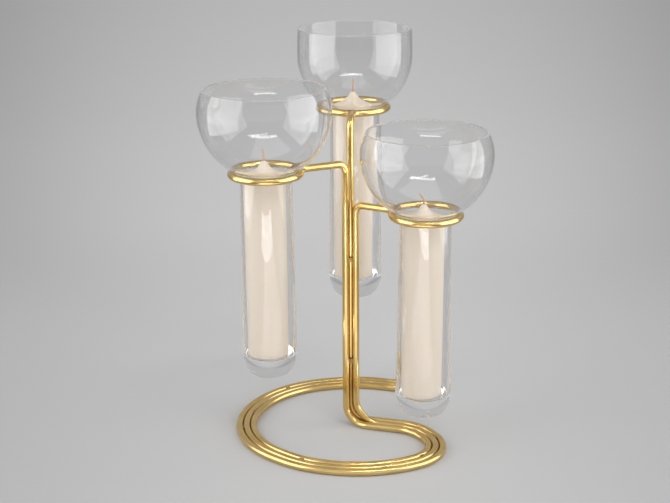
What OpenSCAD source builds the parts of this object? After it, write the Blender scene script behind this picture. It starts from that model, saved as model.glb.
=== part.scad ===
// Candlestick for three candles: three brass rods are bent into one flat loop that stands on the
// table, rise together as the stem and part into three arms, each closed into a ring. A blown glass
// holder hangs in each ring by its bowl, with a candle standing inside its tube.
// The origin is on the table, under the middle of the whole. +X is right, +Y is back.

/* [Rods] */
// Diameter of the brass rod
rod_d = 6; // [5:0.5:7]
// Gap between rods that are soldered side by side
seam = 0.15; // [0.1:0.05:0.3]
// Open slot between the two front rods of the stem
stem_slot = 2.4; // [2:0.2:4]
// Bend radius at the arms, on the rod's centre line
arm_bend_r = 7; // [6:0.5:9]
// Bend radius at the foot of the right rod, which becomes the middle rod of the loop
foot_bend_r = 22; // [20:0.5:24]
// Bend radius at the foot of the left and rear rods
foot_side_bend_r = 16; // [14:0.5:17]
// Bend radius where the left and rear rods fall in beside the middle one
foot_join_r = 8; // [6:0.5:10]

/* [Standing loop] */
// Reach of the loop's corner points to the left of the stem
loop_left = 98; // [90:1:120]
// Reach of the loop's corner points to the right of the stem
loop_right = 85; // [75:1:100]
// Reach of the loop's corner points in front of the stem
loop_front = 94; // [86:1:110]
// Reach of the loop's corner points behind the stem
loop_back = 86; // [80:1:105]

/* [Arms and rings] */
// Free play between a glass tube and the bore of its ring when the glass is lifted out
ring_play = 1.1; // [0.3:0.1:1.5]
// Distance from the left rod of the stem to the middle of its ring
left_reach = 70.4; // [64:0.2:85]
// Direction of the left arm, anticlockwise from +X
left_heading = 205; // [195:1:215]
// Height of the left ring's centre line above the table
left_height = 235.5; // [215:0.5:250]
// Distance from the rear rod of the stem to the middle of its ring
rear_reach = 54; // [50:0.2:70]
// Direction of the rear arm, anticlockwise from +X
rear_heading = 85; // [75:1:100]
// Height of the rear ring's centre line above the table
rear_height = 271; // [262:0.5:300]
// Distance from the right rod of the stem to the middle of its ring
right_reach = 64.2; // [63:0.2:80]
// Direction of the right arm, anticlockwise from +X
right_heading = 331; // [320:1:340]
// Height of the right ring's centre line above the table
right_height = 200.5; // [190:0.5:205]

/* [Glass bowls] */
// Widest diameter of the left and right bowls
side_bowl_d = 107; // [98:0.5:110]
// How far the wall of the left and right bowls draws in from its widest level to the rim
side_rim_draw = 4.6; // [1:0.2:10]
// Height of the rim above the widest level of the left and right bowls
side_rim_rise = 18.2; // [10:0.2:30]
// Widest diameter of the rear bowl
rear_bowl_d = 97.4; // [90:0.2:100]
// How far the wall of the rear bowl draws in from its widest level to the rim
rear_rim_draw = 0.6; // [0.4:0.1:8]
// Height of the rim above the widest level of the rear bowl
rear_rim_rise = 22.8; // [10:0.2:30]
// Wall thickness of the bowls
bowl_wall = 1.6; // [1.2:0.1:2.5]
// Radius of the neck between bowl and tube, on the outside
neck_r = 4.5; // [4:0.1:5]

/* [Glass tubes] */
// Outer diameter of a tube just below its neck
tube_top_d = 42; // [40:0.2:44]
// Outer diameter of the left tube at its heel, where it is widest
left_heel_d = 45.6; // [45:0.2:48]
// Outer diameter of the rear tube at its heel, where it is widest
rear_heel_d = 47; // [45:0.2:48]
// Outer diameter of the right tube at its heel, where it is widest
right_heel_d = 47; // [45:0.2:48]
// Depth of the left tube below the middle of its ring
left_tube_len = 171; // [150:0.5:178]
// Depth of the rear tube below the middle of its ring
rear_tube_len = 168; // [150:0.5:190]
// Depth of the right tube below the middle of its ring
right_tube_len = 172.5; // [150:0.5:178]
// Bore of a tube just below its neck
bore_top_d = 39; // [37.6:0.2:39.4]
// Bore of a tube at its floor
bore_floor_d = 41.6; // [39:0.2:42]
// Thickness of the solid glass under the candle
floor_t = 17; // [14:0.5:20]
// Height of the heel, from which a tube draws in towards its flat foot
heel_h = 19; // [14:0.5:22]
// How far a tube draws in from its heel to its foot
heel_draw = 6.5; // [4:0.5:8]
// Rounding of the edge of the foot
foot_edge_r = 4; // [2:0.5:5]
// Rounding inside the bore, where its wall meets the floor
floor_r = 2; // [1:0.5:2.5]
// Clearance at rest between a glass and its ring, and between a candle and the glass floor
seat_gap = 0.3; // [0.2:0.05:0.5]

/* [Candles] */
// Diameter of a candle
candle_d = 34.4; // [30:0.2:35]
// Length of a candle from its foot to its tip, without the wick
candle_len = 164; // [120:1:180]
// Height of the tapered tip above the shoulder
tip_h = 13; // [8:0.5:20]
// How far the left candle stands off the middle of its tube
left_lean = 1.3; // [0:0.1:1.5]
// How far the rear candle stands off the middle of its tube
rear_lean = 1.6; // [0:0.1:1.7]
// How far the right candle stands off the middle of its tube
right_lean = 1.7; // [0:0.1:1.8]
// Diameter of a wick
wick_d = 2; // [1.4:0.1:2.4]
// Height of a wick's lower end above the candle's foot
wick_foot = 4; // [2:0.5:10]
// Clearance around a wick in its candle
wick_gap = 0.1; // [0.05:0.05:0.2]
// Height of the left wick above the candle's tip
left_wick_h = 10; // [5:0.5:12]
// Height of the rear wick above the candle's tip
rear_wick_h = 11; // [5:0.5:14]
// Height of the right wick above the candle's tip
right_wick_h = 9; // [5:0.5:12]

/* [Solder] */
// Length of a solder tack along the groove between two rods
tack_len = 4; // [2:0.5:8]
// Depth of the groove left open above a tack
tack_sink = 0.9; // [0.5:0.1:1.5]

/* [Hidden] */
$fn = 96;

brass = [0.83, 0.64, 0.28];
solder = [0.72, 0.55, 0.27];
clear_glass = [0.86, 0.93, 0.95, 0.45];
ivory = [0.93, 0.88, 0.78];
char_brown = [0.5, 0.38, 0.3];

rod_r = rod_d / 2;
pitch = rod_d + seam;

// The stem: the front rods stand a slot apart, and the rear rod lies in the hollow behind them
front_x = (rod_d + stem_slot) / 2;
rear_y = sqrt(pow(pitch, 2) - pow(front_x, 2));
left_stem = [-front_x, 0];
rear_stem = [0, rear_y];
right_stem = [front_x, 0];

// The ring: its bore lets the widest heel through
ring_r = max(left_heel_d, rear_heel_d, right_heel_d) / 2 + ring_play + rod_r;
// Straights are a hair thinner than bends, and lap into them; none is shorter than a short run
hair = 0.04;
lap = 0.3;
short_run = 1;
// The rod turns off the arm, and falls into the ring after a short run tangent to both bends
bend_to_ring = sqrt(pow(ring_r + arm_bend_r, 2) + pow(short_run, 2));
ring_entry_a = atan2(arm_bend_r, sqrt(pow(bend_to_ring, 2) - pow(arm_bend_r, 2)))
    + atan2(short_run, ring_r + arm_bend_r);
ring_close_a = asin((rod_r + seam) / ring_r);

function dir(a) = [cos(a), sin(a)];
left_ring = left_stem + left_reach * dir(left_heading);
rear_ring = rear_stem + rear_reach * dir(rear_heading);
right_ring = right_stem + right_reach * dir(right_heading);

// Positions above are from the stem, halfway between its front rods. The whole moves by this much, to
// bring the middle between the outermost bowls and the front of the loop over the origin.
whole_at = -[
    (left_ring.x + right_ring.x) / 2,
    (rear_ring.y + rear_bowl_d / 2 - loop_front - rod_r) / 2,
    0
];

// Corners of the middle rod of the loop in plan. They run from the foot to the right end, round the
// front and the left, and end at the back. Each has its place, as shares of the reaches to its side
// and to the front or back, and the bend radius wanted there, as a share of the reach to the front.
loop_plan = [
    [0.647, -0.149, 0.383],
    [1, -0.628, 0.351],
    [0.224, -1, 1.064],
    [-0.418, -0.851, 0.904],
    [-0.816, -0.521, 0.84],
    [-1, 0.081, 0.83],
    [-0.622, 0.849, 0.936],
    [0.094, 1, 0.979],
    [0.753, 0.814, 0]
];
function loop_corner(p) = [
    p.x * (p.x < 0 ? loop_left : loop_right),
    p.y * (p.y < 0 ? loop_front : loop_back),
    p.z * loop_front
];
loop = concat([[right_stem.x, right_stem.y, 0]], [for (p = loop_plan) loop_corner(p)]);
loop_last = len(loop) - 1;

function unit(v) = v / norm(v);
function flat(p) = [p.x, p.y];
function left_of(v) = [-v.y, v.x];
function turn(a, b) = acos(max(-1, min(1, a * b)));

// Sides of the corner line, the turn at each corner, and the share of a side that a bend uses
function side(i) = flat(loop[i + 1]) - flat(loop[i]);
function side_dir(i) = unit(side(i));
function corner_turn(i) = i <= 0 || i >= loop_last ? 0 : turn(side_dir(i - 1), side_dir(i));
function want(i) = loop[i][2] * tan(corner_turn(i) / 2);
function share(i) = min(1, (norm(side(i)) - short_run) / max(0.01, want(i) + want(i + 1)));
function loop_bend(i) = loop[i][2] * min(share(i - 1), share(i));

// A corner moved sideways, so that the row beside the middle rod stays one pitch away
function row_corner(i, off) =
    i == loop_last
        ? flat(loop[i]) + off * left_of(side_dir(i - 1))
        : flat(loop[i]) + off * (left_of(side_dir(i - 1)) + left_of(side_dir(i)))
            / (1 + side_dir(i - 1) * side_dir(i));
function on_table(p) = [p.x, p.y, rod_r];
function row_points(off) = [for (i = [1 : loop_last]) on_table(row_corner(i, off))];
function row_bends(off) = [for (i = [1 : loop_last - 1]) loop_bend(i) + off];

// Where a side rod, coming straight from its foot, falls in beside the middle rod
foot_run = foot_side_bend_r + 0.3 * foot_join_r + short_run;
function row_entry(stem, off) =
    let (along = side_dir(0), out = left_of(along), from = stem - right_stem)
    right_stem + off * out
        + (from * along + sqrt(pow(foot_run, 2) - pow(off - from * out, 2))) * along;

// A rod from its ring down the stem, along the foot and round the loop
function arm_points(stem, ring, heading, height) =
    let (tangent = ring + ring_r * dir(heading + 180 + ring_entry_a),
         corner = ring + ring_r / cos(ring_entry_a) * dir(heading + 180))
    [[tangent.x, tangent.y, height], [corner.x, corner.y, height], [stem.x, stem.y, height],
     on_table(stem)];
function middle_points(stem, ring, heading, height) =
    concat(arm_points(stem, ring, heading, height), row_points(0));
function middle_bends() = concat([0, arm_bend_r, arm_bend_r, foot_bend_r], row_bends(0), [0]);
function side_points(stem, ring, heading, height, off) =
    concat(arm_points(stem, ring, heading, height), [on_table(row_entry(stem, off))],
        row_points(off));
function side_bends(off) =
    concat([0, arm_bend_r, arm_bend_r, foot_side_bend_r, foot_join_r], row_bends(off), [0]);

// The glass: the ball of the bowl rests on the inner shoulder of the ring
function ball_z(ball_r) = sqrt(pow(ball_r + rod_r + seat_gap, 2) - pow(ring_r, 2));
// Radius of the arc that draws a wall in by draw over a height, from upright, to a micrometre
function draw_r(draw, rise) =
    round((pow(rise, 2) + pow(draw, 2)) / (2 * draw) * 1000) / 1000;

candle_r = candle_d / 2;
// Outline of a candle's tip: share of the candle's radius, and share of the tip's height
tip_line = [
    [1, 0], [0.96, 0.07], [0.87, 0.14], [0.66, 0.27], [0.44, 0.43], [0.29, 0.61],
    [0.19, 0.79], [0.14, 0.91], [0.09, 0.98], [0, 1]
];

// The heading after a bend is worked out from the corner points, so each rod is a table of moves, as
// on a bender: a straight length, a roll about the rod, then a bend of its own radius and angle.
function headings(points) = [for (i = [0 : len(points) - 2]) unit(points[i + 1] - points[i])];
function cuts(points, bends) =
    let (way = headings(points), last = len(points) - 1)
    [for (i = [0 : last])
        i == 0 || i == last ? 0 : bends[i] * tan(turn(way[i - 1], way[i]) / 2)];
function lengths(points, bends) =
    let (cut = cuts(points, bends))
    [for (i = [0 : len(points) - 2])
        max(0, norm(points[i + 1] - points[i]) - cut[i] - cut[i + 1])];
function inward(from, to) = unit(to - from * (from * to));
function outward_end(from, to) = unit(to * (from * to) - from);
function roll(about, from, to) = atan2(cross(from, to) * about, from * to);
// Rolls before each bend, where side is the direction that the rod's own x axis starts in
function rolls(points, side) =
    let (way = headings(points))
    [for (i = [1 : len(points) - 2])
        roll(way[i - 1],
            i == 1 ? side : outward_end(way[i - 2], way[i - 1]),
            inward(way[i - 1], way[i]))];
function turns(points) =
    let (way = headings(points))
    [for (i = [1 : len(points) - 2]) turn(way[i - 1], way[i])];
function inner(bends) = [for (i = [1 : len(bends) - 2]) bends[i]];

// Moves local x, y, z to the three directions at point p
module at(p, x, y, z) {
    multmatrix([
        [x.x, y.x, z.x, p.x],
        [x.y, y.y, z.y, p.y],
        [x.z, y.z, z.z, p.z],
        [0, 0, 0, 1]
    ])
        children();
}

// A rod from the local origin along +Z: straight, rolled and bent towards its own +X, move by move
module bender(lengths, rolls, radii, angles, d, i = 0) {
    from = i == 0 ? 0 : -lap;
    to = i == len(radii) ? lengths[i] : lengths[i] + lap;
    if (lengths[i] > 0) translate([0, 0, from]) cylinder(h = to - from, d = d - hair);
    if (i < len(radii))
        translate([0, 0, lengths[i]]) rotate([0, 0, rolls[i]]) translate([radii[i], 0, 0]) {
            rotate([-90, 0, 0]) rotate([0, 0, 180])
                rotate_extrude(angle = angles[i]) translate([radii[i], 0]) circle(d = d);
            rotate([0, angles[i], 0]) translate([-radii[i], 0, 0])
                bender(lengths, rolls, radii, angles, d, i + 1);
        }
}

// One rod through the points, with a round bend of its own radius at each inner point
module bent_rod(points, bends, d) {
    z = unit(points[1] - points[0]);
    x = unit(cross(z, abs(z.z) < 0.9 ? [0, 0, 1] : [1, 0, 0]));
    at(points[0], x, cross(z, x), z)
        bender(lengths(points, bends), rolls(points, x), inner(bends), turns(points), d);
}

// A rod that starts at the free end of its ring, runs back round it and then through the points
module ringed_rod(ring, heading, points, bends) {
    end_a = heading + 180 - ring_close_a;
    start = ring + ring_r * dir(end_a);
    to_middle = [-cos(end_a), -sin(end_a), 0];
    back = [sin(end_a), -cos(end_a), 0];
    first = unit(points[1] - points[0]);
    at([start.x, start.y, points[0].z], to_middle, cross(back, to_middle), back)
        bender(concat([0], lengths(points, bends)),
            concat([0], rolls(points, cross([0, 0, 1], -first))),
            concat([ring_r], inner(bends)),
            concat([360 - ring_close_a - ring_entry_a], turns(points)), rod_d);
}

// Part of a ring, from one angle to another, anticlockwise from the arm's own direction reversed
module ring_part(ring, heading, height, from_a, to_a) {
    translate([ring.x, ring.y, height]) rotate([0, 0, heading + 180 + from_a])
        rotate_extrude(angle = to_a - from_a) translate([ring_r, 0]) circle(d = rod_d);
}

module rod_left() {
    color(brass) ringed_rod(left_ring, left_heading,
        side_points(left_stem, left_ring, left_heading, left_height, -pitch),
        side_bends(-pitch));
}

module rod_rear() {
    color(brass) ringed_rod(rear_ring, rear_heading,
        side_points(rear_stem, rear_ring, rear_heading, rear_height, pitch),
        side_bends(pitch));
}

module rod_right() {
    color(brass) ringed_rod(right_ring, right_heading,
        middle_points(right_stem, right_ring, right_heading, right_height),
        middle_bends());
}

// Solder that closes a ring: it fills the wedge between the rod's end and the arm's bend
module ring_solder(stem, ring, heading, height) {
    color(solder) difference() {
        ring_part(ring, heading, height, -ring_close_a, ring_entry_a / 2);
        bent_rod(arm_points(stem, ring, heading, height), [0, arm_bend_r, arm_bend_r, 0], rod_d);
    }
}

module ring_solder_left() { ring_solder(left_stem, left_ring, left_heading, left_height); }

module ring_solder_rear() { ring_solder(rear_stem, rear_ring, rear_heading, rear_height); }

module ring_solder_right() { ring_solder(right_stem, right_ring, right_heading, right_height); }

// Cross-section of a tack: it fills the groove between two rods up to a depth below their tops
module groove(depth) {
    difference() {
        translate([-pitch / 2, rod_r * 0.3]) square([pitch, rod_r * 0.7 - depth]);
        for (s = [-1, 1]) translate([s * pitch / 2, 0]) circle(d = rod_d);
    }
}

// A tack in the loop, at a share of bend i, in the groove on one side of the middle rod
module loop_tack(i, at_share, groove_side) {
    r = loop_bend(i);
    half = tan(corner_turn(i) / 2);
    start = flat(loop[i]) - side_dir(i - 1) * r * half;
    middle = start - left_of(side_dir(i - 1)) * r;
    first = atan2(left_of(side_dir(i - 1)).y, left_of(side_dir(i - 1)).x);
    groove_r = r + groove_side * pitch / 2;
    a = tack_len / groove_r * 180 / PI;
    translate([middle.x, middle.y, rod_r])
        rotate([0, 0, first - corner_turn(i) * at_share - a / 2])
            rotate_extrude(angle = a) translate([groove_r, 0]) groove(tack_sink);
}

// A tack in the slot at the front of the stem, against all three rods
module stem_tack(z) {
    translate([0, 0, z]) linear_extrude(height = tack_len) difference() {
        translate([-front_x, -rod_r * 0.3]) square([2 * front_x, rear_y]);
        for (p = [left_stem, rear_stem, right_stem]) translate(p) circle(d = rod_d);
    }
}

module solder_tacks() {
    color(solder) {
        loop_tack(2, 0.15, 1);
        loop_tack(2, 0.85, -1);
        loop_tack(3, 0.4, 1);
        loop_tack(4, 0.6, -1);
        loop_tack(6, 0.2, 1);
        loop_tack(6, 0.7, -1);
        loop_tack(7, 0.5, 1);
        loop_tack(8, 0.4, -1);
        stem_tack(0.29 * right_height);
        stem_tack(0.75 * right_height);
    }
}

// Half outline of a ball on top of a tube, with a round neck cut between them by a hair too deep, so
// that it crosses both outlines
module ball_on_tube(ball_r, z, tube_r, bottom, bottom_r, neck) {
    neck_x = tube_r + neck;
    neck_below = sqrt(pow(ball_r + neck, 2) - pow(neck_x, 2));
    inside = (ball_r - neck / 2) / (ball_r + neck);
    difference() {
        union() {
            polygon([
                [0, bottom], [bottom_r, bottom], [tube_r, z - neck_below], [neck_x, z - neck_below],
                [neck_x * inside, z - neck_below * inside], [0, z - neck_below * inside]
            ]);
            translate([0, z]) intersection() {
                circle(r = ball_r);
                translate([0, -neck_below]) square([ball_r + 1, neck_below]);
            }
        }
        translate([neck_x, z - neck_below]) circle(r = neck + hair / 2);
    }
}

// Foot of a tube's outline: it draws in along an arc to a flat foot. The arc starts a little above the
// heel and the round edge is a hair too large, so that they cross what they meet.
module drawn_foot(bottom, r) {
    arc_r = draw_r(heel_draw, heel_h);
    to_edge = arc_r - foot_edge_r;
    below = heel_h - foot_edge_r;
    edge_x = r - arc_r + sqrt(pow(to_edge, 2) - pow(below, 2));
    meet = heel_h - below * arc_r / to_edge;
    translate([0, bottom]) {
        intersection() {
            translate([r - arc_r, heel_h]) circle(r = arc_r);
            translate([0, meet]) square([r + 1, heel_h + arc_r / 8 - meet]);
        }
        intersection() {
            translate([edge_x, foot_edge_r]) circle(r = foot_edge_r + hair / 2);
            square([r, 2 * foot_edge_r]);
        }
        square([edge_x, foot_edge_r]);
    }
}

// Floor of a bore's outline, with a rounded edge
module round_floor(bottom, r, round_r) {
    translate([0, bottom]) square([r - round_r, round_r]);
    intersection() {
        translate([r - round_r, bottom + round_r]) circle(r = round_r);
        translate([r - round_r, bottom]) square(round_r);
    }
}

// Upper wall of a bowl, from its widest level at the origin's height to a fire-rounded rim
module upper_wall(ball_r, draw, rise) {
    arc_r = draw_r(draw, rise);
    rim_a = asin(rise / arc_r);
    translate([ball_r - arc_r, 0]) {
        difference() {
            intersection() {
                circle(r = arc_r, $fn = 720);
                polygon([[0, 0], [2 * arc_r, 0], [2 * arc_r, 2 * arc_r * tan(rim_a)]]);
            }
            circle(r = arc_r - bowl_wall, $fn = 720);
        }
        rotate(rim_a) translate([arc_r - bowl_wall / 2, 0]) circle(d = bowl_wall + hair);
    }
}

// A holder, blown in one piece, about the middle of its ring
module glass(ball_r, draw, rise, tube_len, heel_d) {
    z = ball_z(ball_r);
    rotate_extrude() {
        difference() {
            union() {
                ball_on_tube(ball_r, z, tube_top_d / 2, heel_h - tube_len, heel_d / 2 - hair, neck_r);
                drawn_foot(-tube_len, heel_d / 2);
            }
            ball_on_tube(ball_r - bowl_wall, z, bore_top_d / 2, floor_t + floor_r - tube_len,
                bore_floor_d / 2, neck_r + (tube_top_d - bore_top_d) / 2);
            round_floor(floor_t - tube_len, bore_floor_d / 2, floor_r);
        }
        translate([0, z]) upper_wall(ball_r, draw, rise);
    }
}

module side_glass(ring, height, tube_len, heel_d) {
    color(clear_glass) translate([ring.x, ring.y, height])
        glass(side_bowl_d / 2, side_rim_draw, side_rim_rise, tube_len, heel_d);
}

module glass_left() { side_glass(left_ring, left_height, left_tube_len, left_heel_d); }

module glass_right() { side_glass(right_ring, right_height, right_tube_len, right_heel_d); }

module glass_rear() {
    color(clear_glass) translate([rear_ring.x, rear_ring.y, rear_height])
        glass(rear_bowl_d / 2, rear_rim_draw, rear_rim_rise, rear_tube_len, rear_heel_d);
}

// Foot of a candle: on the glass floor, and a little to the left of the tube's middle
function candle_foot(ring, height, tube_len, lean) =
    [ring.x - lean, ring.y, height - tube_len + floor_t + seat_gap];

module candle(foot) {
    body_h = candle_len - tip_h;
    color(ivory) translate(foot) difference() {
        rotate_extrude() {
            square([candle_r, body_h]);
            translate([0, body_h])
                polygon(concat([[0, 0]], [for (p = tip_line) [p.x * candle_r, p.y * tip_h]]));
        }
        translate([0, 0, wick_foot - wick_gap])
            cylinder(h = candle_len, d = wick_d + 2 * wick_gap);
    }
}

left_foot = candle_foot(left_ring, left_height, left_tube_len, left_lean);
rear_foot = candle_foot(rear_ring, rear_height, rear_tube_len, rear_lean);
right_foot = candle_foot(right_ring, right_height, right_tube_len, right_lean);

module candle_left() { candle(left_foot); }

module candle_rear() { candle(rear_foot); }

module candle_right() { candle(right_foot); }

// A wick runs down through its candle, and its free end nods to one side
module wick(foot, free_h, nod) {
    tip = foot + [0, 0, candle_len];
    color(char_brown) bent_rod(
        [foot + [0, 0, wick_foot], tip + [0, 0, free_h * 0.45],
         tip + [nod.x * free_h, nod.y * free_h, free_h]],
        [0, 2 * wick_d, 0], wick_d);
}

module wick_left() { wick(left_foot, left_wick_h, [-0.12, 0.05]); }

module wick_rear() { wick(rear_foot, rear_wick_h, [0.04, 0.05]); }

module wick_right() { wick(right_foot, right_wick_h, [-0.42, -0.1]); }

translate(whole_at) rod_left();
translate(whole_at) rod_rear();
translate(whole_at) rod_right();
translate(whole_at) ring_solder_left();
translate(whole_at) ring_solder_rear();
translate(whole_at) ring_solder_right();
translate(whole_at) solder_tacks();
translate(whole_at) glass_left();
translate(whole_at) glass_rear();
translate(whole_at) glass_right();
translate(whole_at) candle_left();
translate(whole_at) candle_rear();
translate(whole_at) candle_right();
translate(whole_at) wick_left();
translate(whole_at) wick_rear();
translate(whole_at) wick_right();
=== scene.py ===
import math
import bmesh
import bpy
from mathutils import Matrix, Vector, noise


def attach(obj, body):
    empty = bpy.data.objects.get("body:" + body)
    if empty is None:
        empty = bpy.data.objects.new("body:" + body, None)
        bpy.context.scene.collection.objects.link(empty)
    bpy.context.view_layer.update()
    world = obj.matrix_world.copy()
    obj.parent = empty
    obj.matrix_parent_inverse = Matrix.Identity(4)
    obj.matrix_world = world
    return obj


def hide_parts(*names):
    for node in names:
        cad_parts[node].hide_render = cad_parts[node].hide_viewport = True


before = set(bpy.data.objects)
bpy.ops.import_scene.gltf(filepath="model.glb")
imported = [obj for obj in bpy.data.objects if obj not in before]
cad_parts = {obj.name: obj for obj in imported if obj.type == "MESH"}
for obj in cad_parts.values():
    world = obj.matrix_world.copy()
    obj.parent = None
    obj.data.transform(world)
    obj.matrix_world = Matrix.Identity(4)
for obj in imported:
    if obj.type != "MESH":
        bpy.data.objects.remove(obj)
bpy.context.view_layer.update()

# Three brass rods, each bent in one length: from the free end of its ring round the ring, along its
# arm, down the stem, along the foot and round the loop that stands on the table. They lie side by
# side, and their free ends show at the back of the loop.
MM = 0.001
ROD_R = 3.0
ROD_GAP = 0.15
PITCH = 2 * ROD_R + ROD_GAP
RING_R = 27.6
# The stem's two front rods stand this far to each side of its middle, and the rear one behind them
FRONT_X = 4.2
STEMS = {"left": (-FRONT_X, 0), "rear": (0, math.sqrt(PITCH**2 - FRONT_X**2)), "right": (FRONT_X, 0)}
# Reach, heading and height of each ring
ARMS = {"left": (70.4, 205, 235.5), "rear": (54.0, 85, 271.0), "right": (64.2, 331, 200.5)}
ARM_BEND, FOOT_BEND, SIDE_FOOT_BEND, JOIN_BEND = 7.0, 22.0, 16.0, 8.0
# A straight stretch that stays between bends
SHORT_RUN = 1.0
# Corners of the middle rod of the loop as shares of its reaches, and the bend radius wanted at each
LOOP_LEFT, LOOP_RIGHT, LOOP_FRONT, LOOP_BACK = 98.0, 85.0, 94.0, 86.0
LOOP_PLAN = [(0.647, -0.149, 0.383), (1, -0.628, 0.351), (0.224, -1, 1.064), (-0.418, -0.851, 0.904),
             (-0.816, -0.521, 0.84), (-1, 0.081, 0.83), (-0.622, 0.849, 0.936), (0.094, 1, 0.979),
             (0.753, 0.814, 0)]
REAR_BOWL_R = 48.7


def heading(degrees):
    return Vector((math.cos(math.radians(degrees)), math.sin(math.radians(degrees)), 0))


def ring_middle(side):
    reach, degrees, height = ARMS[side]
    return Vector((*STEMS[side], height)) + reach * heading(degrees)


RINGS = {side: ring_middle(side) for side in ARMS}
# The origin is under the middle of the whole: left and right bowl, loop's front and rear bowl's back
MIDDLE_X = (RINGS["left"].x + RINGS["right"].x) / 2
MIDDLE_Y = (RINGS["rear"].y + REAR_BOWL_R - LOOP_FRONT - ROD_R) / 2
WHOLE_AT = Vector((-MIDDLE_X, -MIDDLE_Y, 0))

corners = [Vector((FRONT_X, 0, ROD_R))]
for x, y, _ in LOOP_PLAN:
    reach_x = LOOP_LEFT if x < 0 else LOOP_RIGHT
    reach_y = LOOP_FRONT if y < 0 else LOOP_BACK
    corners.append(Vector((x * reach_x, y * reach_y, ROD_R)))
ways = [(b - a).normalized() for a, b in zip(corners, corners[1:])]
runs = [(b - a).length for a, b in zip(corners, corners[1:])]
# Where two bends want more than the run between them, both give way by the same share
wished = [r * LOOP_FRONT for _, _, r in LOOP_PLAN]
wanted = [0] + [r * math.tan(a.angle(b) / 2) for a, b, r in zip(ways, ways[1:], wished)] + [0]
shares = [min(1, (s - SHORT_RUN) / max(0.01, p + q)) for s, p, q in zip(runs, wanted, wanted[1:])]
bends = [r * min(p, q) for r, p, q in zip(wished, shares, shares[1:])]


def left_of(v):
    return Vector((-v.y, v.x, 0))


def row(off):
    """Corner points of a rod in the loop, moved sideways from the middle rod, and its bends."""
    points = [c + off * (left_of(a) + left_of(b)) / (1 + a.dot(b))
              for c, a, b in zip(corners[1:], ways, ways[1:])]
    return points + [corners[-1] + off * left_of(ways[-1])], [r + off for r in bends]


def rounded(points, radii, degrees_each=4):
    """Centre line through corner points, with a round bend at each inner one."""
    line = [points[0]]
    for a, b, c, r in zip(points, points[1:], points[2:], radii):
        into, out = (b - a).normalized(), (c - b).normalized()
        angle = into.angle(out)
        start = b - into * r * math.tan(angle / 2)
        inward = (out - into * into.dot(out)).normalized()
        steps = max(3, round(math.degrees(angle) / degrees_each))
        for i in range(steps + 1):
            t = angle * i / steps
            line.append(start + into * r * math.sin(t) + inward * r * (1 - math.cos(t)))
    return line + [points[-1]]


def rod_line(side, off, ring_steps=96):
    """Centre line of a rod in millimetres, from the free end of its ring to its end in the loop."""
    ring, degrees = RINGS[side], ARMS[side][1]
    to_bend = math.hypot(RING_R + ARM_BEND, SHORT_RUN)
    entry = math.degrees(math.atan2(ARM_BEND, math.sqrt(to_bend**2 - ARM_BEND**2))
                         + math.atan2(SHORT_RUN, RING_R + ARM_BEND))
    close = math.degrees(math.asin((ROD_R + ROD_GAP) / RING_R))
    around = [ring + RING_R * heading(degrees + 180 - close - (360 - close - entry) * i / ring_steps)
              for i in range(ring_steps + 1)]
    corner = ring - RING_R / math.cos(math.radians(entry)) * heading(degrees)
    stem = Vector((*STEMS[side], ROD_R))
    points = [around[-1], corner, Vector((stem.x, stem.y, ring.z)), stem]
    radii = [ARM_BEND, ARM_BEND, FOOT_BEND if off == 0 else SIDE_FOOT_BEND]
    if off:
        # A side rod bends out of the stem, runs to its own row and joins it
        run = SIDE_FOOT_BEND + 0.3 * JOIN_BEND + SHORT_RUN
        start, along, out = corners[0], ways[0], left_of(ways[0])
        gap = (stem - start).dot(out)
        reach = (stem - start).dot(along) + math.sqrt(run**2 - (off - gap)**2)
        points.append(start + off * out + reach * along)
        radii.append(JOIN_BEND)
    more, row_radii = row(off)
    return around[:-1] + rounded(points + more, radii + row_radii)


def tube(name, line, radius, segments=28, end_round=0.4):
    """A round bar along a line, its ends slightly rounded, with a UV map of millimetres."""
    line = [p + WHOLE_AT for p in line]
    ways = [(b - a).normalized() for a, b in zip(line, line[1:])]
    tangents = [ways[0]] + [(a + b).normalized() for a, b in zip(ways, ways[1:])] + [ways[-1]]
    normal = tangents[0].orthogonal().normalized()
    rings = []
    length = 0
    for i, (p, t) in enumerate(zip(line, tangents)):
        normal = (normal - t * normal.dot(t)).normalized()
        if i:
            length += (p - line[i - 1]).length
        rings.append((p, t, normal.copy(), radius, length))
    p, t, n, r, s = rings[0]
    rings[0] = (p + t * end_round, t, n, r, s + end_round)
    rings.insert(0, (p, t, n, r - end_round, s))
    p, t, n, r, s = rings[-1]
    rings[-1] = (p - t * end_round, t, n, r, s - end_round)
    rings.append((p, t, n, r - end_round, s))
    mesh = bmesh.new()
    uv = mesh.loops.layers.uv.new("along_and_round")
    rows = []
    for p, t, n, r, s in rings:
        b = t.cross(n)
        rows.append([mesh.verts.new((p + r * (n * math.cos(a) + b * math.sin(a))) * MM)
                     for a in (math.tau * k / segments for k in range(segments))])
    for i in range(len(rows) - 1):
        for k in range(segments):
            j = (k + 1) % segments
            face = mesh.faces.new((rows[i][k], rows[i][j], rows[i + 1][j], rows[i + 1][k]))
            ends = ((rings[i][4], k), (rings[i][4], k + 1), (rings[i + 1][4], k + 1), (rings[i + 1][4], k))
            for loop, (s, v) in zip(face.loops, ends):
                loop[uv].uv = (s, v / segments * math.tau * radius)
    mesh.faces.new(list(reversed(rows[0])))
    mesh.faces.new(rows[-1])
    return finished(name, mesh)


def finished(name, mesh):
    """An object from a mesh, smooth but for the flat ends of a bar."""
    bmesh.ops.recalc_face_normals(mesh, faces=mesh.faces)
    for face in mesh.faces:
        face.smooth = len(face.verts) < 5
    data = bpy.data.meshes.new(name)
    mesh.to_mesh(data)
    mesh.free()
    piece = bpy.data.objects.new(name, data)
    bpy.context.scene.collection.objects.link(piece)
    return piece


def place(piece, body, node, material):
    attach(piece, body)
    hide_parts(node)
    piece.data.materials.append(material)


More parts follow.
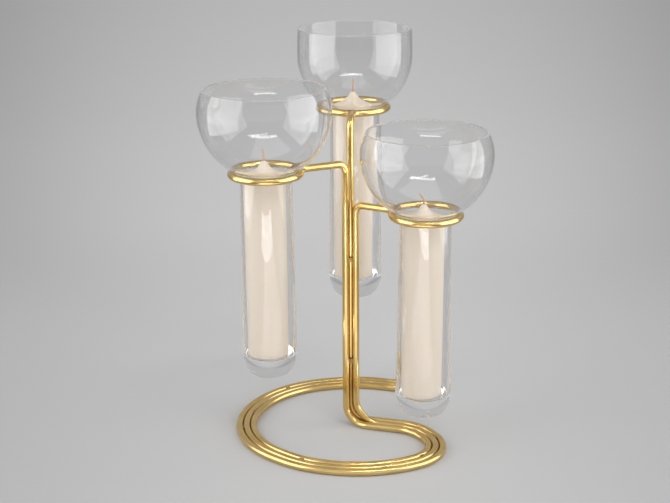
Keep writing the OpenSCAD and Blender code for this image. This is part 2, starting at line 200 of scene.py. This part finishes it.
def new_material(name):
    """A material with a Principled shader, and a function that adds a node and links its inputs."""
    material = bpy.data.materials.new(name)
    material.use_nodes = True
    tree = material.node_tree
    return material, tree.nodes["Principled BSDF"], adder(tree)


def adder(tree):
    def add(kind, inputs=None, **settings):
        node = tree.nodes.new(kind)
        for key, value in settings.items():
            setattr(node, key, value)
        for key, value in (inputs or {}).items():
            put(node.inputs[key], value)
        return node
    return add


def put(socket, value):
    """Link a socket to another one, or give it a value of its own."""
    if isinstance(value, bpy.types.NodeSocket):
        socket.id_data.links.new(value, socket)
    else:
        socket.default_value = value


def worked(add, operation, *values):
    """The result of a Math node."""
    return add("ShaderNodeMath", dict(enumerate(values)), operation=operation).outputs["Value"]


def rise(add, value, low, high, **settings):
    """0 where a value is at low, 1 where it is at high."""
    inputs = {"Value": value, "From Min": low, "From Max": high}
    return add("ShaderNodeMapRange", inputs, **settings).outputs["Result"]


def ramp(add, value, stops):
    """A colour ramp from (place, colour) stops."""
    node = add("ShaderNodeValToRGB", {"Fac": value})
    elements = node.color_ramp.elements
    while len(elements) < len(stops):
        elements.new(0.5)
    for element, (place_at, colour) in zip(elements, stops):
        element.position = place_at
        element.color = colour
    return node.outputs["Color"]


def group(name, inputs, outputs):
    """A node group with float inputs, its group input node and output node, and its adder."""
    tree = bpy.data.node_groups.new(name, "ShaderNodeTree")
    for label, default in inputs:
        socket = tree.interface.new_socket(label, in_out="INPUT", socket_type="NodeSocketFloat")
        socket.default_value = default
    for label, kind in outputs:
        tree.interface.new_socket(label, in_out="OUTPUT", socket_type=kind)
    return tree, tree.nodes.new("NodeGroupInput"), tree.nodes.new("NodeGroupOutput"), adder(tree)


# Handling leaves soft smudges on brass and glass: a slow cloud with finer spots in it
smudge_tree, smudge_in, smudge_out, add = group(
    "smudges", [("Scale", 60.0)], [("Smudge", "NodeSocketFloat")])
where = add("ShaderNodeTexCoord").outputs["Object"]
broad = add("ShaderNodeTexNoise", {"Vector": where, "Scale": smudge_in.outputs["Scale"],
                                   "Detail": 3.0, "Roughness": 0.6, "Distortion": 0.4})
put(smudge_out.inputs["Smudge"], rise(add, broad.outputs["Fac"], 0.42, 0.7))


def smudges(add, scale):
    node = add("ShaderNodeGroup", node_tree=smudge_tree)
    node.inputs["Scale"].default_value = scale
    return node.outputs["Smudge"]


DEEP_BRASS, PALE_BRASS = (0.69, 0.47, 0.165, 1), (0.78, 0.575, 0.24, 1)
BRASS_ROUGHNESS, BRASS_SMUDGE = 0.17, 0.06

brass, shader, add = new_material("polished_brass")
uv = add("ShaderNodeUVMap", uv_map="along_and_round").outputs["UV"]
drawn = add("ShaderNodeMapping", {"Vector": uv, "Scale": (0.02, 3.2, 1.0)})
lines = add("ShaderNodeTexNoise", {"Vector": drawn.outputs["Vector"], "Scale": 1.0, "Detail": 4.0})
cloud = add("ShaderNodeTexNoise", {"Vector": uv, "Scale": 0.05, "Detail": 3.0}).outputs["Fac"]
put(shader.inputs["Base Color"], ramp(add, cloud, [(0.3, DEEP_BRASS), (0.62, PALE_BRASS)]))
shader.inputs["Metallic"].default_value = 1.0
rough = worked(add, "MULTIPLY_ADD", smudges(add, 45.0), BRASS_SMUDGE, BRASS_ROUGHNESS)
put(shader.inputs["Roughness"], rough)
bump = add("ShaderNodeBump", {"Height": lines.outputs["Fac"], "Strength": 0.03, "Distance": 0.0001})
put(shader.inputs["Normal"], bump.outputs["Normal"])

for side, off in (("left", -PITCH), ("rear", PITCH), ("right", 0)):
    rod = tube("brass_rod_" + side, rod_line(side, off), ROD_R)
    place(rod, "stand", "rod_" + side, brass)

# Solder: a bead that closes each ring against its own arm, and small tacks in the grooves between
# the rods. It is duller than the brass and pitted, with dark specks of flux.
FLUX_BROWN, SOLDER_GOLD = (0.2, 0.11, 0.04, 1), (0.5, 0.33, 0.12, 1)

solder, shader, add = new_material("dull_solder")
where = add("ShaderNodeTexCoord").outputs["Object"]
pits = add("ShaderNodeTexVoronoi", {"Vector": where, "Scale": 900.0})
grain = add("ShaderNodeTexNoise", {"Vector": where, "Scale": 1200.0, "Detail": 4.0}).outputs["Fac"]
put(shader.inputs["Base Color"], ramp(add, grain, [(0.35, FLUX_BROWN), (0.55, SOLDER_GOLD)]))
shader.inputs["Metallic"].default_value = 1.0
shader.inputs["Roughness"].default_value = 0.36
bump = add("ShaderNodeBump", {"Height": pits.outputs["Distance"], "Strength": 0.5, "Distance": 0.0004})
put(shader.inputs["Normal"], bump.outputs["Normal"])
for name in ("ring_solder_left", "ring_solder_rear", "ring_solder_right", "solder_tacks"):
    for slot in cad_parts[name].material_slots:
        slot.material = solder

# Three blown glass holders: a round bowl that draws in a little to a fire-rounded rim, a neck that
# drops through the ring, and a long tube that widens towards its thick foot. The foot draws in to a
# flat with a round edge.
NECK_R, WALL = 4.5, 1.6
TUBE_TOP_R, BORE_TOP_R, BORE_FLOOR_R = 21.0, 19.5, 20.8
FLOOR, FLOOR_R = 17.0, 2.0
HEEL_H, HEEL_DRAW, EDGE_R = 19.0, 6.5, 4.0
SEAT_GAP = 0.3
# Bowl radius, rim draw, rim rise, tube length and heel radius
GLASSES = {"left": (53.5, 4.6, 18.2, 171, 22.8), "rear": (REAR_BOWL_R, 0.6, 22.8, 168, 23.5),
           "right": (53.5, 4.6, 18.2, 172.5, 23.5)}
# How far a radius strays from true, here and on the candles, and how fast that changes round the
# piece and with each millimetre of height
UNEVEN, WAVES_ROUND, WAVES_UP = 0.12, 0.9, 0.02


def arc(x, z, r, start, end, steps):
    """Points of an arc in the outline's plane, angles in degrees, anticlockwise from +X."""
    turns = (math.radians(start + (end - start) * i / steps) for i in range(steps + 1))
    return [(x + r * math.cos(a), z + r * math.sin(a)) for a in turns]


def wall_line(ball_r, z, tube_r, neck):
    """Neck and ball of one face of the wall, from the tube's top to the widest level."""
    neck_x = tube_r + neck
    below = math.sqrt((ball_r + neck)**2 - neck_x**2)
    touch = math.degrees(math.atan2(below, neck_x))
    return arc(neck_x, z - below, neck, 180, 180 - touch, 10) + arc(0, z, ball_r, -touch, 0, 40)[1:]


def glass_outline(ball_r, draw, rim_rise, length, heel_r):
    """The closed outline of a holder, from the middle of its foot round the rim to the bore's floor."""
    z = math.sqrt((ball_r + ROD_R + SEAT_GAP)**2 - RING_R**2)
    arc_r = (rim_rise**2 + draw**2) / (2 * draw)
    rim = math.degrees(math.asin(rim_rise / arc_r))
    mid = math.radians(rim)
    bead = ((ball_r - arc_r) + (arc_r - WALL / 2) * math.cos(mid), z + (arc_r - WALL / 2) * math.sin(mid))
    foot_r = (HEEL_H**2 + HEEL_DRAW**2) / (2 * HEEL_DRAW)
    meet = -math.degrees(math.asin((HEEL_H - EDGE_R) / (foot_r - EDGE_R)))
    edge_x = heel_r - foot_r + (foot_r - EDGE_R) * math.cos(math.radians(meet))
    outer = arc(edge_x, EDGE_R - length, EDGE_R, -90, meet, 8)
    outer += arc(heel_r - foot_r, HEEL_H - length, foot_r, meet, 0, 14)[1:]
    outer += wall_line(ball_r, z, TUBE_TOP_R, NECK_R)
    outer += arc(ball_r - arc_r, z, arc_r, 0, rim, 16)[1:-1]
    top = arc(*bead, WALL / 2, rim, rim + 180, 12)
    inner = arc(BORE_FLOOR_R - FLOOR_R, FLOOR + FLOOR_R - length, FLOOR_R, -90, 0, 6)
    inner += wall_line(ball_r - WALL, z, BORE_TOP_R, NECK_R + TUBE_TOP_R - BORE_TOP_R)
    inner += arc(ball_r - arc_r, z, arc_r - WALL, 0, rim, 16)[1:-1]
    return [(0, -length)] + outer + top + inner[::-1] + [(0, FLOOR - length)]


def turned(name, outline, middle, segments, seed):
    """A surface of revolution about a vertical line, its radius a little uneven."""
    mesh = bmesh.new()
    rows = []
    for r, z in outline:
        if r < 1e-6:
            rows.append([mesh.verts.new((middle + Vector((0, 0, z))) * MM)])
            continue
        ring = []
        for k in range(segments):
            a = math.tau * k / segments
            way = Vector((math.cos(a), math.sin(a), 0))
            spot = Vector((way.x * WAVES_ROUND, way.y * WAVES_ROUND, z * WAVES_UP + seed))
            wave = noise.noise(spot) * UNEVEN
            ring.append(mesh.verts.new((middle + way * (r + wave) + Vector((0, 0, z))) * MM))
        rows.append(ring)
    for low, high in zip(rows, rows[1:]):
        for k in range(segments):
            j = (k + 1) % segments
            points = (low[k % len(low)], low[j % len(low)], high[j % len(high)], high[k % len(high)])
            mesh.faces.new(dict.fromkeys(points))
    return finished(name, mesh)


def set_surface(material, shader_socket):
    put(material.node_tree.nodes["Material Output"].inputs["Surface"], shader_socket)


GLASS_SMUDGE = 0.012
# Light that was mirrored or bounced more often than this leaves the glass again
MOST_MIRRORED, MOST_BOUNCES = 1.5, 8.5

glass, shader, add = new_material("clear_blown_glass")
shader.inputs["Base Color"].default_value = (0.92, 0.92, 0.92, 1)
shader.inputs["Transmission Weight"].default_value = 1.0
shader.inputs["IOR"].default_value = 1.47
shader.inputs["Specular Tint"].default_value = (0.6, 0.6, 0.6, 1)
rough = worked(add, "MULTIPLY_ADD", smudges(add, 30.0), GLASS_SMUDGE, 0.0)
put(shader.inputs["Roughness"], rough)
# Lamplight comes straight through
path = add("ShaderNodeLightPath").outputs
inside = worked(add, "GREATER_THAN", path["Glossy Depth"], MOST_MIRRORED)
deep = worked(add, "GREATER_THAN", path["Ray Depth"], MOST_BOUNCES)
lit = worked(add, "MAXIMUM", path["Is Shadow Ray"], path["Is Diffuse Ray"])
straight = worked(add, "MAXIMUM", worked(add, "MAXIMUM", inside, deep), lit)
clear = add("ShaderNodeBsdfTransparent", {"Color": (1.0, 1.0, 1.0, 1)})
both = add("ShaderNodeMixShader", {0: straight, 1: shader.outputs["BSDF"], 2: clear.outputs["BSDF"]})
set_surface(glass, both.outputs["Shader"])

for seed, (side, sizes) in enumerate(GLASSES.items()):
    holder = turned("blown_glass_" + side, glass_outline(*sizes), RINGS[side] + WHOLE_AT, 128, seed * 7.3)
    place(holder, "glass_" + side, "glass_" + side, glass)

# Three ivory candles, each standing a little off the middle of its tube, with a shoulder that rises
# in a hollow curve to a narrow tip round the wick.
CANDLE_R, CANDLE_LEN, TIP_H = 17.2, 164.0, 13.0
BODY_H = CANDLE_LEN - TIP_H
# How far to the left of the middle each one stands
OFF_MIDDLE = {"left": 1.3, "rear": 1.6, "right": 1.7}
# The worn edge of the foot, then the shoulder and tip as shares of radius and tip height
FOOT_EDGE = [(0, 0), (CANDLE_R - 0.8, 0), (CANDLE_R - 0.2, 0.3), (CANDLE_R, 1.0)]
TIP = [(1, 0), (0.96, 0.07), (0.87, 0.14), (0.66, 0.27), (0.44, 0.43), (0.29, 0.61),
       (0.19, 0.79), (0.14, 0.91), (0.09, 0.98)]
WAX_SHADE, WAX_LIGHT = (0.745, 0.65, 0.54, 1), (0.81, 0.72, 0.615, 1)


def candle_foot(side):
    length = GLASSES[side][3]
    return RINGS[side] + WHOLE_AT + Vector((-OFF_MIDDLE[side], 0, FLOOR + SEAT_GAP - length))


wax, shader, add = new_material("ivory_wax")
where = add("ShaderNodeTexCoord").outputs["Object"]
tall = add("ShaderNodeMapping", {"Vector": where, "Scale": (70.0, 70.0, 9.0)}).outputs["Vector"]
cloud = add("ShaderNodeTexNoise", {"Vector": tall, "Scale": 1.0, "Detail": 5.0}).outputs["Fac"]
put(shader.inputs["Base Color"], ramp(add, cloud, [(0.3, WAX_SHADE), (0.7, WAX_LIGHT)]))
shader.inputs["Subsurface Weight"].default_value = 0.5
shader.inputs["Subsurface Radius"].default_value = (1.0, 0.7, 0.45)
shader.inputs["Subsurface Scale"].default_value = 0.004
rough = add("ShaderNodeMapRange", {"Value": cloud, "To Min": 0.3, "To Max": 0.45})
put(shader.inputs["Roughness"], rough.outputs["Result"])
fine = add("ShaderNodeTexNoise", {"Vector": where, "Scale": 500.0, "Detail": 3.0}).outputs["Fac"]
bump = add("ShaderNodeBump", {"Height": fine, "Strength": 0.15, "Distance": 0.0002})
put(shader.inputs["Normal"], bump.outputs["Normal"])

for seed, side in enumerate(OFF_MIDDLE):
    outline = FOOT_EDGE + [(CANDLE_R, BODY_H * i / 30) for i in range(1, 30)]
    outline += [(r * CANDLE_R, BODY_H + z * TIP_H) for r, z in TIP] + [(0, CANDLE_LEN)]
    candle = turned("wax_candle_" + side, outline, candle_foot(side), 72, 31 + seed * 5.1)
    place(candle, "candle_" + side, "candle_" + side, wax)

# Three wicks of braided cotton, pale brown from the wax that they soaked up. Each nods its own way
# above its candle, and starts a little below the tip of the wax.
WICK_R = 1.0
WICK_BEND = 4 * WICK_R
SUNK = 6
# Share of the free height at which a wick bends
KNEE = 0.45
# Free height above the candle's tip, and the nod of the tip for each millimetre of it
WICKS = {"left": (10, (-0.12, 0.05)), "rear": (11, (0.04, 0.05)), "right": (9, (-0.42, -0.1))}
STRANDS, STRAND_R, STRAND_OFF = 3, 0.53 * WICK_R, 0.45 * WICK_R
# Turn of the braid in radians for each millimetre
TWIST = 1.15
COTTON_BROWN, COTTON_PALE = (0.38, 0.23, 0.15, 1), (0.68, 0.47, 0.35, 1)

cotton, shader, add = new_material("braided_cotton")
where = add("ShaderNodeTexCoord").outputs["Object"]
fuzz = add("ShaderNodeTexNoise", {"Vector": where, "Scale": 2500.0, "Detail": 4.0}).outputs["Fac"]
put(shader.inputs["Base Color"], ramp(add, fuzz, [(0.3, COTTON_BROWN), (0.7, COTTON_PALE)]))
shader.inputs["Roughness"].default_value = 0.85
shader.inputs["Sheen Weight"].default_value = 0.3
bump = add("ShaderNodeBump", {"Height": fuzz, "Strength": 0.6, "Distance": 0.0002})
put(shader.inputs["Normal"], bump.outputs["Normal"])


def strand_line(core, first_turn, steps=60):
    """One strand that winds round the wick's centre line."""
    lengths = [0]
    for a, b in zip(core, core[1:]):
        lengths.append(lengths[-1] + (b - a).length)
    line = []
    for i in range(steps + 1):
        s = lengths[-1] * i / steps
        k = max(j for j, before in enumerate(lengths[:-1]) if before <= s)
        t = (s - lengths[k]) / (lengths[k + 1] - lengths[k])
        turn = s * TWIST + first_turn
        line.append(core[k].lerp(core[k + 1], t)
                    + STRAND_OFF * Vector((math.cos(turn), math.sin(turn), 0)))
    return line


for side, (free_h, nod) in WICKS.items():
    tip = candle_foot(side) - WHOLE_AT + Vector((0, 0, CANDLE_LEN))
    core = rounded([tip - Vector((0, 0, SUNK)), tip + Vector((0, 0, free_h * KNEE)),
                    tip + Vector((*nod, 1)) * free_h], [WICK_BEND])
    for strand in range(STRANDS):
        line = strand_line(core, strand * math.tau / STRANDS)
        piece = tube(f"wick_strand_{side}_{strand}", line, STRAND_R, 10, 0.2)
        place(piece, "candle_" + side, "wick_" + side, cotton)

# The set: a seamless sheet of matt grey paper that the candlestick stands on. Light is painted into its
# grey: a painted pool of light makes it brightest behind the candlestick, painted shade darkens it to
# the sides, and it is painted lighter with distance. Greys are shares of white, and places are in metres.
PAPER_HALF = 12
NEAR_GREY, FAR_GREY, POOL_GREY, CAMERA_GREY, PAINTED_CARD_WHITE = 0.35, 0.68, 0.61, 0.16, 0.95
# Where the grey begins and ends to turn, from near to far and to the painted dark round the camera
NEAR_TO_FAR, TO_CAMERA = (-0.1, 2.65), (-0.4, -0.5)
# The painted shade to the sides grows with the square of the slant across a fan that opens from behind the
# camera
FAN_POINT, FAN_FROM = 1.17, -0.2
FADE, MOST_FADE, FADE_BLEND, PAPER_FADE = 4.4, 0.3, 0.1, 0.25


def grey(level):
    return (level, level, level, 1)


def mixed(add, factor, first, second):
    """The colour at a share of the way from the first to the second."""
    return add("ShaderNodeMix", {0: factor, 6: first, 7: second}, data_type="RGBA").outputs[2]


floor_mesh = bmesh.new()
bmesh.ops.create_grid(floor_mesh, x_segments=1, y_segments=1, size=PAPER_HALF)
floor = finished("floor", floor_mesh)

paper, shader, add = new_material("pale_floor")
path = add("ShaderNodeLightPath").outputs
where = add("ShaderNodeTexCoord").outputs["Object"]
x, y, _ = add("ShaderNodeSeparateXYZ", {"Vector": where}).outputs
# Painted light: the grey grows lighter with distance, where less lamplight reaches
tone = ramp(add, rise(add, y, *NEAR_TO_FAR), [(0.0, grey(NEAR_GREY)), (1.0, grey(FAR_GREY))])
# Painted pool of light, brightest behind the candlestick
spot = add("ShaderNodeMapping", {"Vector": where, "Location": (0, -0.28, 0), "Scale": (1.5, 0.8, 1.0)})
pool = add("ShaderNodeTexGradient", {"Vector": spot.outputs["Vector"]}, gradient_type="SPHERICAL")
tone = mixed(add, pool.outputs["Fac"], tone, grey(POOL_GREY))
# Painted shade: the paper darkens towards the sides
fan_width = worked(add, "ADD", worked(add, "MAXIMUM", y, FAN_FROM), FAN_POINT)
slant = worked(add, "DIVIDE", x, fan_width)
fade = worked(add, "MULTIPLY", worked(add, "MULTIPLY", slant, slant), FADE)
fade = worked(add, "SMOOTH_MIN", fade, MOST_FADE, FADE_BLEND)
tone = mixed(add, worked(add, "MULTIPLY", fade, PAPER_FADE), tone, grey(0))
# Painted dark reflection: towards the camera the paper turns dark, but only to metal and glass, standing
# in for the dark room round the camera
near_camera = worked(add, "MULTIPLY", path["Is Glossy Ray"], rise(add, y, *TO_CAMERA))
tone = mixed(add, near_camera, tone, grey(CAMERA_GREY))

# Painted reflection: a white card shape on the paper between the candlestick and the camera, which only
# metal and glass show. It glows though no lamp is there, more so in what glass mirrors from inside.
PAINTED_CARD_EDGE = (1.05, 0.95)
PAINTED_CARD_GLOW, PAINTED_CARD_GLOW_INSIDE = 0.45, 0.8

spread = add("ShaderNodeMapping", {"Vector": where, "Location": (0, 1.8, 0), "Scale": (6.3, 5.2, 0)})
aside = add("ShaderNodeVectorMath", {0: spread.outputs["Vector"]}, operation="ABSOLUTE")
reach = add("ShaderNodeSeparateXYZ", {"Vector": aside.outputs["Vector"]}).outputs
painted_card = rise(add, worked(add, "MAXIMUM", reach["X"], reach["Y"]), *PAINTED_CARD_EDGE)
bounced = worked(add, "GREATER_THAN", path["Glossy Depth"], 0.5)
sharp = worked(add, "MAXIMUM", path["Is Glossy Ray"], path["Is Transmission Ray"])
mirrored = worked(add, "MULTIPLY", bounced, sharp)
painted_card = worked(add, "MULTIPLY", painted_card, mirrored)
tone = mixed(add, painted_card, tone, grey(PAINTED_CARD_WHITE))
glow = worked(add, "MULTIPLY_ADD", path["Is Transmission Ray"], PAINTED_CARD_GLOW_INSIDE, PAINTED_CARD_GLOW)
put(shader.inputs["Base Color"], tone)
shader.inputs["Roughness"].default_value = 0.9
shader.inputs["Emission Color"].default_value = grey(1.0)
put(shader.inputs["Emission Strength"], worked(add, "MULTIPLY", painted_card, glow))

# Painted light: past the lamps, where the light on it would be uneven, the paper glows with a grey of its
# own to the eye and through glass instead of being lit: plain in front, and behind the candlestick slowly
# darker with distance and darker to the sides, a painted falloff of the light.
PLAIN_GREY = 0.46
FRONT_TO_BACK, BACK_REACH = (0.0, 0.4), (0.5, 3.0)
BACK_GREYS = [(0.0, 0.578), (0.2, 0.562), (0.36, 0.532), (0.6, 0.506), (0.96, 0.482)]
# How soon the painted glow begins: to the sides, in front and behind
SIDE_SLOPE, FRONT_START, BACK_SOONER = -0.3, 0.1, 0.3
PAINTED_GLOW_EDGE = (0.5, 0.95)

width = worked(add, "ABSOLUTE", x)
beside = worked(add, "MULTIPLY_ADD", y, SIDE_SLOPE, width)
in_front = worked(add, "SUBTRACT", FRONT_START, y)
behind = worked(add, "ADD", y, BACK_SOONER)
away = worked(add, "MAXIMUM", worked(add, "MAXIMUM", beside, in_front), behind)
outer = rise(add, away, *PAINTED_GLOW_EDGE, interpolation_type="SMOOTHSTEP")
seen = worked(add, "MAXIMUM", path["Is Camera Ray"], path["Is Transmission Ray"])
backdrop = ramp(add, rise(add, y, *BACK_REACH), [(at, grey(level)) for at, level in BACK_GREYS])
backdrop = mixed(add, fade, backdrop, grey(0))
at_back = rise(add, y, *FRONT_TO_BACK, interpolation_type="SMOOTHSTEP")
even = add("ShaderNodeEmission", {"Color": mixed(add, at_back, grey(PLAIN_GREY), backdrop)})
paper_seen = add("ShaderNodeMixShader", {0: worked(add, "MULTIPLY", outer, seen),
                                         1: shader.outputs["BSDF"], 2: even.outputs["Emission"]})

# Painted reflection: metal and glass also see the paper glow where the lamps' bright foot would be, though
# no lamp is there. It reaches nearer than the lamps, between two slants, and a little nearer on the right.
FOOT_SLANT, FOOT_SPREAD, FOOT_SHIFT, NEAR_EDGE = -0.42, 0.69, 0.076, (0.585, 0.605)
FOOT_GLOW, FOOT_GLOW_INSIDE = 1.83, 1.7

facing = worked(add, "COMPARE", worked(add, "DIVIDE", y, width), FOOT_SLANT, FOOT_SPREAD)
near_lamp = rise(add, worked(add, "MULTIPLY_ADD", x, FOOT_SHIFT, width), *NEAR_EDGE)
foot = worked(add, "MULTIPLY", worked(add, "MULTIPLY", facing, near_lamp), mirrored)
glow = worked(add, "MULTIPLY_ADD", path["Is Transmission Ray"], FOOT_GLOW_INSIDE, FOOT_GLOW)
painted_lamp_foot = add("ShaderNodeEmission", {"Strength": glow})
whole = add("ShaderNodeMixShader", {0: foot, 1: paper_seen.outputs["Shader"],
                                    2: painted_lamp_foot.outputs["Emission"]})
set_surface(paper, whole.outputs["Shader"])
floor.data.materials.append(paper)

# Four soft lamps: a tall one at each side, a low bright card in front and a strip above the camera.
# Each has a panel in its place, which shows only as a mirror image seen through glass.
PANEL_GLOW = 0.62


def lamp(name, position, target, width, height, power):
    light = bpy.data.lights.new(name, "AREA")
    light.shape = "RECTANGLE"
    light.size, light.size_y, light.energy = width, height, power
    source = bpy.data.objects.new(name, light)
    bpy.context.scene.collection.objects.link(source)
    source.visible_camera = source.visible_transmission = False
    mesh = bmesh.new()
    bmesh.ops.create_grid(mesh, x_segments=1, y_segments=1, size=0.5)
    panel = finished(name + "_panel", mesh)
    panel.scale = (width, height, 1)
    panel.visible_camera = panel.visible_diffuse = panel.visible_glossy = panel.visible_shadow = False
    for piece in (source, panel):
        piece.location = position
        piece.rotation_euler = (Vector(target) - Vector(position)).to_track_quat("-Z", "Y").to_euler()
    panel.data.materials.append(panel_glow(name + "_glow", PANEL_GLOW * power / (width * height)))


def panel_glow(name, strength):
    """Bright in mirror images seen through glass, and clear to everything else."""
    glow, _, add = new_material(name)
    glow.cycles.emission_sampling = "NONE"
    path = add("ShaderNodeLightPath").outputs
    bounced = worked(add, "GREATER_THAN", path["Glossy Depth"], 0.5)
    bright = add("ShaderNodeEmission", {"Strength": strength})
    both = add("ShaderNodeMixShader", {0: worked(add, "MULTIPLY", bounced, path["Is Transmission Ray"]),
                                       1: add("ShaderNodeBsdfTransparent").outputs["BSDF"],
                                       2: bright.outputs["Emission"]})
    set_surface(glow, both.outputs["Shader"])
    return glow


for name, lamp_x in (("soft_left", -1.0), ("soft_right", 1.0)):
    lamp(name, (lamp_x, -0.32, 0.56), (0, -0.1, 0.3), width=1.36, height=1.1, power=8.6)
lamp("card_front", (-0.05, -0.535, 0.01), (-0.05, -0.535, 1), width=0.4, height=0.09, power=0.85)
lamp("strip_front", (0.35, -0.95, 1.6), (0, 0, 0.2), width=1.0, height=0.08, power=6)

# The room is pale, and palest behind the camera. Metal and glass show it a little brighter.
PALEST_ROOM, ROOM = grey(0.72), (0.42, 0.42, 0.43, 1)
PALEST_TO_ROOM = (-0.8, 0.2)
ROOM_SHINE = 0.15

world = bpy.data.worlds.new("studio")
bpy.context.scene.world = world
world.use_nodes = True
add = adder(world.node_tree)
background = world.node_tree.nodes["Background"]
way = add("ShaderNodeSeparateXYZ", {"Vector": add("ShaderNodeTexCoord").outputs["Generated"]}).outputs
room = ramp(add, rise(add, way["Y"], *PALEST_TO_ROOM), [(0.0, PALEST_ROOM), (1.0, ROOM)])
put(background.inputs["Color"], room)
is_glossy = add("ShaderNodeLightPath").outputs["Is Glossy Ray"]
put(background.inputs["Strength"], worked(add, "MULTIPLY_ADD", is_glossy, ROOM_SHINE, 1.0))

# The camera, fitted to the photograph: its place in millimetres from the middle between the stem's
# front rods, how far it looks down in degrees, its roll in radians, and its lens
CAMERA_AT = Vector((-13.15, -1005.5, 487.1))
LOOKS_DOWN, ROLL = 18.03, -0.007
FOCAL_PX, PHOTO_PX, FILM_WIDTH = 1259.7, 670, 36

camera = bpy.data.objects.new("camera", bpy.data.cameras.new("camera"))
camera.data.lens = FILM_WIDTH * FOCAL_PX / PHOTO_PX
camera.data.clip_start, camera.data.clip_end = 0.05, 50
stand_at = Matrix.Translation((CAMERA_AT + WHOLE_AT) * MM)
pitch = Matrix.Rotation(math.radians(90 - LOOKS_DOWN), 4, "X")
camera.matrix_world = stand_at @ pitch @ Matrix.Rotation(ROLL, 4, "Z")
bpy.context.scene.collection.objects.link(camera)
bpy.context.scene.camera = camera
bpy.context.scene.view_settings.view_transform = "Standard"
